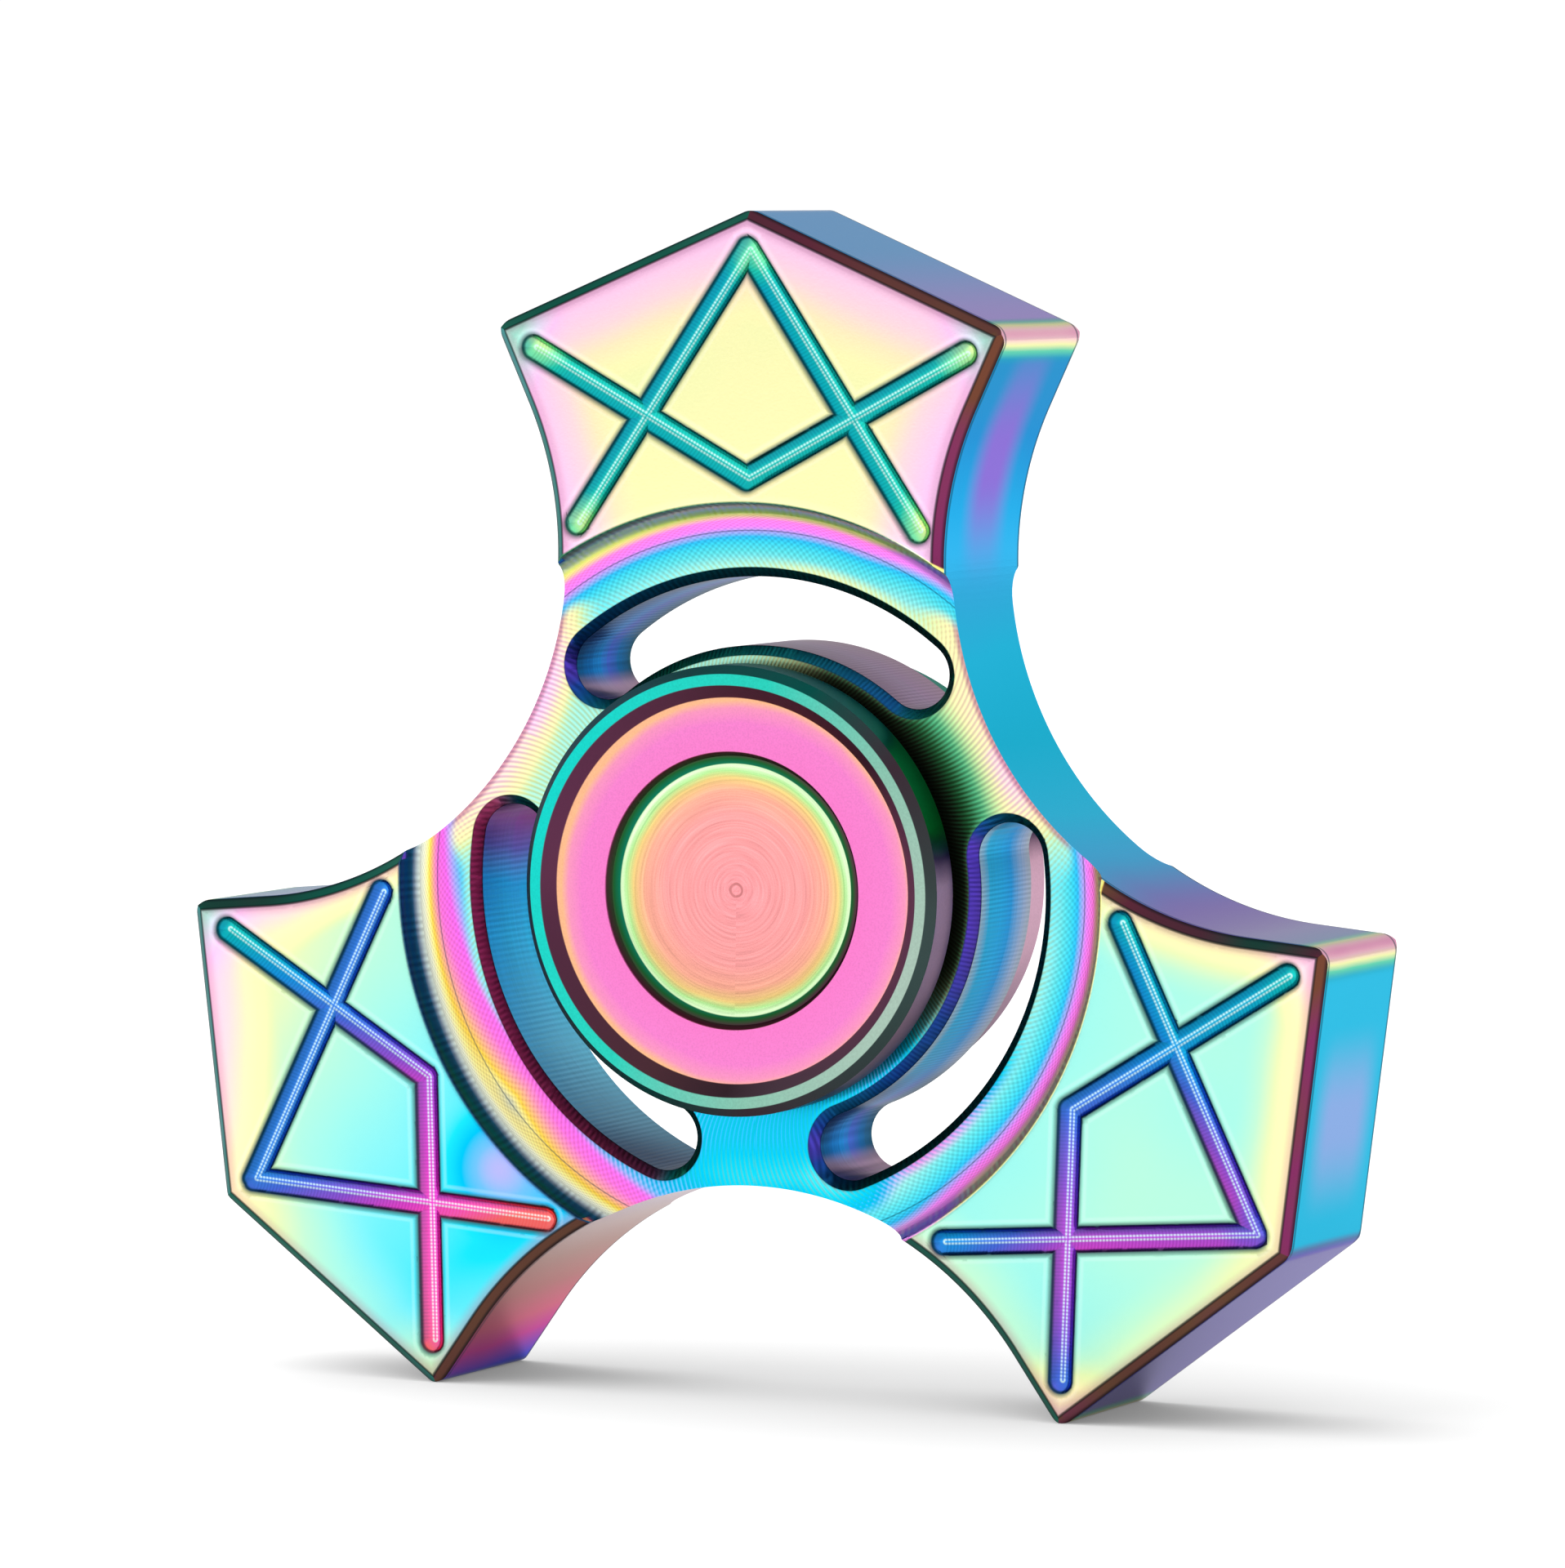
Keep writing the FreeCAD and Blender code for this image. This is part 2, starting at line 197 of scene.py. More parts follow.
def slot_path(grow):
    """The slot's edge in the half arm, from its inner side round its end to its outer side."""
    inner = SLOT_RADIUS - SLOT_HALF_WIDTH - grow
    outer = SLOT_RADIUS + SLOT_HALF_WIDTH + grow
    end = SLOT_RADIUS * heading(SLOT_END)
    near = [inner * heading(SLOT_END * n / 24) for n in range(24)]
    far = [outer * heading(SLOT_END * n / 28) for n in range(27, -1, -1)]
    radius = SLOT_HALF_WIDTH + grow
    turn = -math.pi / 2 - SLOT_END
    tip = [point for point, _ in arc_points(end, turn, turn + math.pi, radius, 0.2)]
    return near + tip + far


def slot_distance(point):
    """How far outside the slot's edge a point is."""
    angle = min(abs(math.atan2(point[0], point[1])), SLOT_END)
    return np.linalg.norm(point - SLOT_RADIUS * heading(angle)) - SLOT_HALF_WIDTH


def leg_distance(point, leg):
    along = leg[1] - leg[0]
    share = np.clip(np.dot(point - leg[0], along) / np.dot(along, along), 0, 1)
    return np.linalg.norm(point - leg[0] - share * along)


# ---------------------------------------------------------------- profiles

# Drop of the face at a distance in from the outline: a chamfer with softened edges
EDGE_PROFILE = [(0, 0.52), (0.018, 0.445), (0.06, 0.388), (0.38, 0.068), (0.44, 0.022), (0.55, 0)]
# Depth of a groove at a distance from its middle: a ball cutter's round, then a soft lip
LIP_PROFILE = [(0.60, 0.092), (0.64, 0.054), (0.68, 0.027), (0.74, 0.008), (0.82, 0)]
LIP_START = 0.56
# Drop of the face at a distance from a slot's edge
SLOT_PROFILE = [(0, SLOT_CHAMFER), (0.02, 0.452), (0.45, 0.018), (0.53, 0)]
# Half of a cap's section, as (radius, height)
CAP_PROFILE = [
    (0, 5.6), (3.0, 5.63), (DISC_RADIUS, 5.72), (6.33, 5.85), (RING_RADIUS, RING_TOP),
    (RIM_STEP, RING_TOP), (RIM_RADIUS, CAP_TOP), (BEVEL_RADIUS, CAP_TOP), (CAP_RADIUS, 6.32),
    (CAP_RADIUS, CAP_BACK), (BOSS_RADIUS, CAP_BACK), (BOSS_RADIUS, BEARING_HALF_WIDTH),
    (0, BEARING_HALF_WIDTH),
]
# Rounded lip at the top of the recess wall, as (radius, height)
RECESS_LIP = [(18.13, 4.76), (18.18, 4.797), (18.25, 4.818), (18.34, 4.83)]


def groove_profile():
    table = []
    for n in range(8):
        reach = LIP_START * n / 7
        round_depth = GROOVE_RADIUS - math.sqrt(GROOVE_RADIUS ** 2 - reach ** 2)
        table.append((reach, GROOVE_DEPTH - round_depth))
    return table + LIP_PROFILE


def recess_profile():
    flat = RECESS_RADIUS - RECESS_FILLET
    table = [(0, FLOOR_TOP)]
    for n in range(10):
        turn = math.radians(10 * n)
        radius = flat + RECESS_FILLET * math.sin(turn)
        table.append((radius, FLOOR_TOP + RECESS_FILLET * (1 - math.cos(turn))))
    return table + RECESS_LIP


GROOVE_PROFILE = groove_profile()
RECESS_PROFILE = recess_profile()


def look_up(table, x):
    return float(np.interp(x, [a for a, _ in table], [b for _, b in table]))


def face_height(point):
    """Height of the body's face above its middle plane."""
    pad = PAD_TOP - look_up(EDGE_PROFILE, edge_distance(point))
    reach = min(leg_distance(point, UPPER_CHEVRON), leg_distance(point, LOWER_CHEVRON))
    pad -= look_up(GROOVE_PROFILE, reach)
    recess = look_up(RECESS_PROFILE, np.linalg.norm(point))
    height = min(pad, recess)
    return height - look_up(SLOT_PROFILE, slot_distance(point))


# ---------------------------------------------------------------- mesh of the body

class Sketch:
    """Points and edges in the plan of half an arm, to be filled with triangles."""

    def __init__(self):
        self.points = []
        self.edges = []

    def path(self, points, closed=False):
        first = len(self.points)
        self.points += [Vector(point) for point in points]
        last = len(self.points) - 1
        self.edges += [(n, n + 1) for n in range(first, last)]
        if closed:
            self.edges.append((last, first))
        return list(range(first, last + 1))


def half_arm_border():
    """The closed edge of half an arm: bore, slot, centre line, outline and hollow."""
    bore = [BORE_RADIUS * heading(WEDGE * n / 20) for n in range(20, 0, -1)]
    start = [np.array((0, BORE_RADIUS))]
    to_slot = np.linspace(BORE_RADIUS, SLOT_RADIUS - SLOT_HALF_WIDTH, 6)[1:-1]
    to_apex = np.linspace(SLOT_RADIUS + SLOT_HALF_WIDTH, TIP_REACH, 60)[1:-3]
    painted_shade_line = [np.array((0, v)) for v in to_slot]
    outer_line = [np.array((0, v)) for v in to_apex]
    edge = [point for point, _ in outline()]
    waist = [heading(WEDGE) * r for r in np.linspace(HOLLOW_REACH, BORE_RADIUS, 10)[1:-1]]
    return start + painted_shade_line + slot_path(0) + outer_line + edge + waist + bore


def groove_rows(leg, other):
    """Points along a groove, in rows at the distances where its profile bends."""
    along = unit(leg[1] - leg[0])
    across = np.array((along[1], -along[0]))
    length = np.linalg.norm(leg[1] - leg[0])
    reaches = [reach for reach, _ in GROOVE_PROFILE[1:]] + [0.95, 1.2]
    found = []
    for step in np.linspace(0, length, int(length / 0.3)):
        middle = leg[0] + step * along
        found.append(middle)
        for reach in reaches:
            found += [middle + reach * across, middle - reach * across]
    turn = math.atan2(across[1], across[0])
    for reach in reaches:
        for point, _ in arc_points(leg[1], turn, turn + math.pi, reach, 0.25):
            found.append(point)
    return [p for p in found if leg_distance(p, leg) <= leg_distance(p, other) + 0.02]


def crease_paths():
    """The sharp lines in the floor where the two chevrons cross."""
    first = unit(UPPER_CHEVRON[1] - UPPER_CHEVRON[0])
    second = unit(LOWER_CHEVRON[1] - LOWER_CHEVRON[0])
    matrix = np.array((first, -second)).T
    share = np.linalg.solve(matrix, LOWER_CHEVRON[0] - UPPER_CHEVRON[0])
    crossing = UPPER_CHEVRON[0] + share[0] * first
    paths = []
    for bisector in (unit(first + second), unit(first - second)):
        sine = abs(first[0] * bisector[1] - first[1] * bisector[0])
        reach = GROOVE_PROFILE[-1][0] / sine
        paths.append([crossing + bisector * reach * n / 8 for n in range(-8, 9)])
    return paths


def half_arm():
    """Corners (u, v, height) and faces of half an arm's front."""
    sketch = Sketch()
    border = sketch.path(half_arm_border(), closed=True)
    edge = outline()
    for reach, _ in EDGE_PROFILE[1:] + [(0.75, 0)]:
        sketch.path([point - reach * normal for point, normal in edge])
    for radius, _ in RECESS_PROFILE[1:] + [(18.6, 0), (16.4, 0)]:
        angles = np.linspace(0, math.radians(45), 60)
        sketch.path([radius * heading(angle) for angle in angles])
    for grow, _ in SLOT_PROFILE[1:] + [(0.7, 0)]:
        sketch.path(slot_path(grow))
    for path in crease_paths():
        sketch.path(path)
    loose = groove_rows(UPPER_CHEVRON, LOWER_CHEVRON)
    loose += groove_rows(LOWER_CHEVRON, UPPER_CHEVRON)
    for u in np.arange(0.8, 14, 0.8):
        loose += [np.array((u, v)) for v in np.arange(4.0, 32, 0.8)]
    inside = [p for p in loose if p[0] > 0.02 and edge_distance(p) > 0.6]
    sketch.points += [Vector(p) for p in inside]
    plan, _, faces, _, _, _ = delaunay_2d_cdt(sketch.points, sketch.edges, [border], 1, 1e-4)
    corners = [(p.x, p.y, face_height(np.array(p))) for p in plan]
    return corners, [tuple(face) for face in faces]


def on_seam(a, b):
    """True if an edge of the half arm lies on one of its two mirror lines."""
    middle = (a + b) / 2
    angle = math.atan2(middle.x, middle.y)
    return abs(middle.x) < 1e-3 or abs(angle - WEDGE) < 1e-4


def half_arm_shape():
    """Points and faces of half an arm's front, with its walls down to the middle plane."""
    corners, faces = half_arm()
    half = bmesh.new()
    made = [half.verts.new(corner) for corner in corners]
    for face in faces:
        half.faces.new([made[n] for n in face])
    loose = [v for v in half.verts if not v.link_faces]
    bmesh.ops.delete(half, geom=loose, context="VERTS")
    rim = [e for e in half.edges if e.is_boundary and not on_seam(*[v.co for v in e.verts])]
    for drop in (WALL_TOP_ROW, None):
        grown = bmesh.ops.extrude_edge_only(half, edges=rim)["geom"]
        rim = [item for item in grown if isinstance(item, bmesh.types.BMEdge)]
        for vert in {v for e in rim for v in e.verts}:
            vert.co.z = vert.co.z - drop if drop else 0
    half.verts.index_update()
    shape = [v.co.copy() for v in half.verts]
    polygons = [[v.index for v in face.verts] for face in half.faces]
    half.free()
    return shape, polygons


def add_copy(whole, shape, polygons, turn, side, face):
    """Adds one of the twelve mirrored and turned copies that make up the body."""
    copies = []
    for u, v, height in shape:
        x = side * u * math.cos(turn) + v * math.sin(turn)
        z = -side * u * math.sin(turn) + v * math.cos(turn)
        copies.append(whole.verts.new((x * MM, -face * height * MM, z * MM)))
    for polygon in polygons:
        whole.faces.new([copies[n] for n in polygon])


def body_mesh():
    shape, polygons = half_arm_shape()
    whole = bmesh.new()
    for arm in range(3):
        for side in (1, -1):
            for face in (1, -1):
                add_copy(whole, shape, polygons, math.radians(120 * arm), side, face)
    bmesh.ops.remove_doubles(whole, verts=whole.verts, dist=WELD_DISTANCE * MM)
    add_seat(whole)
    bmesh.ops.recalc_face_normals(whole, faces=whole.faces)
    mesh = bpy.data.meshes.new("spinner_body")
    whole.to_mesh(mesh)
    whole.free()
    return mesh


def add_seat(whole):
    """The lip in front of the bearing and the wall round it."""
    profile = [
        (BORE_RADIUS + 0.1, -FLOOR_TOP + 0.01),
        (LIP_RADIUS, -FLOOR_TOP + 0.01),
        (LIP_RADIUS, -BEARING_HALF_WIDTH),
        (BEARING_RADIUS, -BEARING_HALF_WIDTH),
        (BEARING_RADIUS, BEARING_HALF_WIDTH),
        (BORE_RADIUS + 0.1, BEARING_HALF_WIDTH),
    ]
    add_turned(whole, profile, SEAT_SEGMENTS, closed=True)


def add_turned(target, profile, segments, closed=False):
    """Adds a surface of revolution about Y. The profile's points are (radius, y)."""
    rings = []
    for radius, y in profile:
        if radius == 0:
            rings.append([target.verts.new((0, y * MM, 0))] * segments)
            continue
        ring = []
        for n in range(segments):
            angle = 2 * math.pi * n / segments
            spot = (radius * math.sin(angle) * MM, y * MM, radius * math.cos(angle) * MM)
            ring.append(target.verts.new(spot))
        rings.append(ring)
    pairs = list(zip(rings, rings[1:]))
    if closed:
        pairs.append((rings[-1], rings[0]))
    for first, second in pairs:
        for n in range(segments):
            m = (n + 1) % segments
            quad = [first[n], first[m], second[m], second[n]]
            target.faces.new(list(dict.fromkeys(quad)))


def finish_mesh(name, mesh, material, sharp_angle):
    """An object with smooth shading that stays crisp at the sharp edges."""
    piece = bpy.data.objects.new(name, mesh)
    bpy.context.scene.collection.objects.link(piece)
    mesh.shade_smooth()
    mesh.set_sharp_from_angle(angle=sharp_angle)
    weighted = piece.modifiers.new("weighted", "WEIGHTED_NORMAL")
    weighted.keep_sharp = True
    mesh.materials.append(material)
    return piece


# ---------------------------------------------------------------- camera, floor and light

def make_camera():
    camera = bpy.data.objects.new("camera", bpy.data.cameras.new("camera"))
    bpy.context.scene.collection.objects.link(camera)
    side = Matrix.Rotation(CAMERA_AZIMUTH, 4, "Z") @ Matrix.Rotation(-CAMERA_ELEVATION, 4, "X")
    back = side @ Vector((0, -CAMERA_DISTANCE, 0))
    facing = (-back).to_track_quat("-Z", "Y").to_matrix().to_4x4()
    place = Matrix.Translation((LOOK_AT + back) * MM)
    camera.matrix_world = place @ facing @ Matrix.Rotation(CAMERA_ROLL, 4, "Z")
    camera.data.lens = CAMERA_LENS
    camera.data.clip_start = 0.01
    camera.data.clip_end = 20
    bpy.context.scene.camera = camera


def make_floor():
    """A wide white floor just under the two arms that the spinner stands on."""
    height = cad_box[0][2] - FLOOR_GAP * MM
    bpy.ops.mesh.primitive_plane_add(size=FLOOR_SIZE, location=(0, 0, height))
    floor = bpy.context.object
    floor.name = "floor"
    paint = Paint("floor_white")
    shader = paint.shader.inputs
    shader["Base Color"].default_value = (FLOOR_WHITE, FLOOR_WHITE, FLOOR_WHITE, 1)
    shader["Specular IOR Level"].default_value = 0.0
    shader["Emission Color"].default_value = (1, 1, 1, 1)
    shader["Emission Strength"].default_value = FLOOR_GLOW
    place = paint.vector(*paint.coordinates()[:3])
    paint.plug(shader["Roughness"], 0.85 + paint.noise(place, 0.02) * 0.1)
    floor.data.materials.append(paint.material)


def make_world():
    """White studio walls: plain white to the camera, softer on the floor than on the metal."""
    world = bpy.data.worlds.new("studio")
    bpy.context.scene.world = world
    world.use_nodes = True
    world.cycles.sampling_method = "NONE"
    nodes = world.node_tree.nodes
    links = world.node_tree.links
    path = nodes.new("ShaderNodeLightPath")
    level = None
    for ray, light in (("Is Camera Ray", WHITE_LIGHT), ("Is Glossy Ray", METAL_LIGHT)):
        share = nodes.new("ShaderNodeMath")
        share.operation = "MULTIPLY_ADD"
        share.inputs[1].default_value = light - WALL_LIGHT
        share.inputs[2].default_value = WALL_LIGHT
        links.new(path.outputs[ray], share.inputs[0])
        if level:
            links.new(level, share.inputs[2])
        level = share.outputs[0]
    links.new(level, nodes["Background"].inputs["Strength"])
    nodes["Background"].inputs["Color"].default_value = (1, 1, 1, 1)


def make_soft_light():
    """One very soft light from the left, which casts the floor's shadows to the right."""
    light = bpy.data.lights.new("soft_light", "SUN")
    light.energy = SOFT_LIGHT
    light.angle = SOFT_LIGHT_SPREAD
    lamp = bpy.data.objects.new("soft_light", light)
    lamp.location = SOFT_LIGHT_FROM
    lamp.rotation_euler = (-SOFT_LIGHT_FROM).to_track_quat("-Z", "Y").to_euler()
    lamp.visible_glossy = False
    bpy.context.scene.collection.objects.link(lamp)


# ---------------------------------------------------------------- shader arithmetic

class Number:
    """A shader socket that can be used in ordinary arithmetic."""

    def __init__(self, paint, socket):
        self.paint = paint
        self.socket = socket

    def __add__(self, other):
        return self.paint.math("ADD", self, other)

    def __radd__(self, other):
        return self.paint.math("ADD", other, self)

    def __sub__(self, other):
        return self.paint.math("SUBTRACT", self, other)

    def __rsub__(self, other):
        return self.paint.math("SUBTRACT", other, self)

    def __mul__(self, other):
        return self.paint.math("MULTIPLY", self, other)

    def __truediv__(self, other):
        return self.paint.math("DIVIDE", self, other)

    def __neg__(self):
        return self.paint.math("MULTIPLY", self, -1.0)

    def __abs__(self):
        return self.paint.math("ABSOLUTE", self)


def colour(code):
    """A hex colour as linear light."""
    parts = [int(code[n:n + 2], 16) / 255 for n in (0, 2, 4)]
    linear = [c / 12.92 if c <= 0.04045 else ((c + 0.055) / 1.055) ** 2.4 for c in parts]
    return (*linear, 1)


class Paint:
    """A node material, with helpers that add its nodes."""

    def __init__(self, name, metallic=0.0):
        self.material = bpy.data.materials.new(name)
        self.material.use_nodes = True
        self.nodes = self.material.node_tree.nodes
        self.links = self.material.node_tree.links
        self.shader = self.nodes["Principled BSDF"]
        self.shader.inputs["Metallic"].default_value = metallic
        if metallic:
            self.shader.inputs["Specular Tint"].default_value = EDGE_TINT

    def plug(self, socket, value):
        """Links a socket to another, or sets it to a plain value."""
        if isinstance(value, Number):
            self.links.new(value.socket, socket)
        elif isinstance(value, bpy.types.NodeSocket):
            self.links.new(value, socket)
        else:
            socket.default_value = value

    def math(self, operation, *values):
        node = self.nodes.new("ShaderNodeMath")
        node.operation = operation
        for socket, value in zip(node.inputs, values):
            self.plug(socket, value)
        return Number(self, node.outputs[0])

    def low(self, a, b):
        return self.math("MINIMUM", a, b)

    def high(self, a, b):
        return self.math("MAXIMUM", a, b)

    def length(self, a, b):
        return self.math("SQRT", a * a + b * b)

    def step(self, value, start, end):
        """0 below start and 1 above end, with a smooth rise between."""
        node = self.nodes.new("ShaderNodeMapRange")
        node.interpolation_type = "SMOOTHSTEP"
        for name, item in (("Value", value), ("From Min", start), ("From Max", end)):
            self.plug(node.inputs[name], item)
        return Number(self, node.outputs[0])

    def fade(self, value, start, end):
        return 1 - self.step(value, start, end)

    def wave(self, value, pitch):
        """A smooth wave between 0 and 1 that repeats at each pitch."""
        return self.math("SINE", value * (2 * math.pi / pitch)) * 0.5 + 0.5

    def scaled(self, tone, share):
        """A colour made darker or lighter."""
        node = self.nodes.new("ShaderNodeVectorMath")
        node.operation = "SCALE"
        self.links.new(tone, node.inputs[0])
        self.plug(node.inputs["Scale"], share)
        return node.outputs[0]

    def ramp(self, value, stops):
        """Colours at places along a value. Stops are (place, hex colour)."""
        node = self.nodes.new("ShaderNodeValToRGB")
        first, last = stops[0][0], stops[-1][0]
        self.plug(node.inputs[0], (value - first) / (last - first))
        elements = node.color_ramp.elements
        while len(elements) < len(stops):
            elements.new(0.5)
        for element, (place, code) in zip(elements, stops):
            element.position = (place - first) / (last - first)
            element.color = colour(code)
        return node.outputs["Color"]

    def mix(self, under, over, share):
        """One colour laid over another."""
        node = self.nodes.new("ShaderNodeMix")
        node.data_type = "RGBA"
        self.plug(node.inputs["Factor"], share)
        self.plug(node.inputs["A"], colour(under) if isinstance(under, str) else under)
        self.plug(node.inputs["B"], colour(over) if isinstance(over, str) else over)
        return node.outputs["Result"]

    def vector(self, x, y, z):
        node = self.nodes.new("ShaderNodeCombineXYZ")
        for socket, value in zip(node.inputs, (x, y, z)):
            self.plug(socket, value)
        return node.outputs[0]

    def noise(self, place, scale, detail=2.0):
        """Soft noise between 0 and 1."""
        node = self.nodes.new("ShaderNodeTexNoise")
        self.plug(node.inputs["Vector"], place)
        node.inputs["Scale"].default_value = scale
        node.inputs["Detail"].default_value = detail
        return Number(self, node.outputs[0])

    def coordinates(self):
        """Object-space place in millimetres, and the surface's direction."""
        node = self.nodes.new("ShaderNodeTexCoord")
        found = []
        for name, scale in (("Object", 1 / MM), ("Normal", 1)):
            split = self.nodes.new("ShaderNodeSeparateXYZ")
            self.links.new(node.outputs[name], split.inputs[0])
            found += [Number(self, socket) * scale for socket in split.outputs]
        return found

    def bump(self, height, depth):
        """Relief from a height between 0 and 1, with its full depth in millimetres."""
        node = self.nodes.new("ShaderNodeBump")
        node.inputs["Strength"].default_value = 1.0
        node.inputs["Distance"].default_value = depth * MM
        self.plug(node.inputs["Height"], height)
        self.links.new(node.outputs["Normal"], self.shader.inputs["Normal"])


# ---------------------------------------------------------------- rainbow coating

# The order of a thin film's colours, pale as on the broad faces
PASTEL = [
    (0.00, "9fe6d2"), (0.07, "dcdcf0"), (0.15, "fcc6f0"), (0.27, "fdd6da"), (0.36, "fde8bc"),
    (0.43, "fbf3b4"), (0.50, "e0f2b0"), (0.57, "b8eeca"), (0.64, "9ceadc"), (0.71, "72e4ec"),
    (0.78, "18daf0"), (0.85, "00bcf0"), (0.91, "6cb8f8"), (0.97, "c0acfa"), (1.04, "ec8ee4"),
]
# The same, deep as in the grooves
VIVID = [
    (0.00, "cfe07c"), (0.10, "6fcf98"), (0.20, "1db29c"), (0.32, "0b9aa6"), (0.45, "147fc4"),
    (0.58, "3f5cc0"), (0.70, "7c48ba"), (0.82, "c43ab0"), (0.92, "ee4e9e"), (1.00, "ee5e5c"),
]
# Outward through the turned recess, by distance from the axis
RECESS = [
    (15.2, "90e6e2"), (15.8, "5cdce4"), (16.2, "3cd2ec"), (16.45, "30bcf2"), (16.7, "a8a4f6"),
    (16.95, "ee80f2"), (17.26, "fa78d0"), (17.46, "fbb484"), (17.64, "fada68"), (17.86, "f6eaae"),
    (18.03, "7c9c88"), (18.16, "2f6446"), (18.7, "0b5c5c"),
]
# The same on the left arm, where the rings lie further in
LEFT_RECESS = [
    (14.6, "43c1f3"), (15.0, "a8a8fb"), (15.4, "f46ce8"), (16.0, "fa74d8"), (16.4, "fb94b4"),
    (16.75, "fbb684"), (17.05, "f8d04c"), (17.25, "f4e48c"), (17.45, "c8cab0"), (17.72, "8c9c9e"),
    (17.88, "24607e"), (18.04, "08586c"), (18.2, "20284a"),
]
# Beside the hub on the right, outward from the axis
NECK_SHADE = [
    (9.5, "020a08"), (10.7, "03241a"), (11.5, "0c6a40"), (12.3, "48b884"), (13.2, "9cdc9c"),
]
# Round the outer walls, by how far along a hollow, from its middle to a tip
HOLLOW = [
    (0.0, "00b0d2"), (4.5, "18b4da"), (7.5, "2ca8da"), (10.0, "129ad0"), (13.0, "0882c0"),
    (17.0, "0a84b4"),
]
LOWER_HOLLOW = [
    (0.0, "b89cac"), (6.9, "a88a98"), (8.9, "b29490"), (10.9, "a88078"), (12.6, "ac7070"),
    (13.8, "c06078"), (14.6, "bc4090"), (15.6, "4044c0"), (16.9, "1450a0"),
]
# Outer walls of the tips, by how far up they face
TIP_WALLS = [
    (-1.0, "5c3cbc"), (-0.7, "5c4cc4"), (-0.45, "4a78ac"), (-0.2, "10aace"), (0.1, "1cb0d4"),
    (0.5, "2492c8"), (0.95, "2088c4"),
]
# Round the corners of the tips, by distance from the corner
CORNER_BAND = [
    (0.15, "843c5c"), (0.25, "d888b4"), (0.5, "ecb8c4"), (0.8, "dce0a0"), (1.1, "58c0a0"),
    (1.5, "0c98ac"),
]
# Narrow chamfers round the pads, by how far right they face: the coating's colours painted dark
# as shade, and lighter where they face left
PAD_CHAMFER = [
    (-1.0, "4a8c8c"), (-0.93, "3c807c"), (-0.7, "2c6c5c"), (-0.39, "14584a"), (-0.05, "1c4038"),
    (0.15, "4c2c38"), (0.39, "602c3c"), (0.6, "684836"), (0.85, "7c2c5c"), (1.0, "6c4030"),
]
# Chamfers of the slots, by how far right they face, painted dark as shade
SLOT_EDGE = [
    (-1.0, "0c4a3c"), (-0.4, "0e5a48"), (0.1, "0e5868"), (0.6, "124a84"), (0.85, "1c3c8c"),
    (1.0, "43309a"),
]
# Walls of the slots from front to back
SLOT_DEPTH = [
    (-3.0, "064a74"), (-1.6, "0860a0"), (-0.4, "1878bc"), (0.6, "3a58b0"), (1.5, "145c94"),
    (3.0, "1c4858"),
]
# The left arm's slot from bottom to top
LEFT_SLOT = [
    (-13.0, "0c4c68"), (-11.5, "4c90a8"), (-8.0, "58b8d4"), (-3.0, "34b8e4"), (-0.5, "1c98d0"),
    (1.2, "544c98"), (2.6, "74306c"), (5.0, "7a4038"),
]
# The right arm's slot from front to back
RIGHT_SLOT = [
    (-3.0, "a8bcc8"), (-1.9, "24a8d0"), (0.6, "108cc4"), (2.2, "8c9cb8"), (3.0, "9aa0a8"),
]

# The milling cutter's own circles, which leave arcs on the recess floor
CUTTER_CIRCLE = 13.0
CUTTER_RADIUS = 4.6
MARK_PITCH = 0.24
CROSS_PITCH = 0.29
PAD_MIDDLE = 23.0          # distance of a pad's middle from the axis
RIB_PITCH = 0.26
BEAD_PITCH = 0.17
# Where the paint takes the chevrons' legs to end
UPPER_LEG_END = (8.8, 17.0)
LOWER_LEG_END = (11.1, 25.2)
WALL_BOOST = 1.25          # makes up for what the edge tint takes at grazing angles
BEVEL_TOP = 4.25           # where the painted dark line of shade runs on the outer walls
GROOVE_EDGE = 0.62         # half a groove's width
CHAMFER_EDGE = 0.46        # how far in the pads' chamfers reach
RECESS_EDGE = 18.2
GLOSS = 0.22               # roughness of the polished faces
RELIEF = 0.006


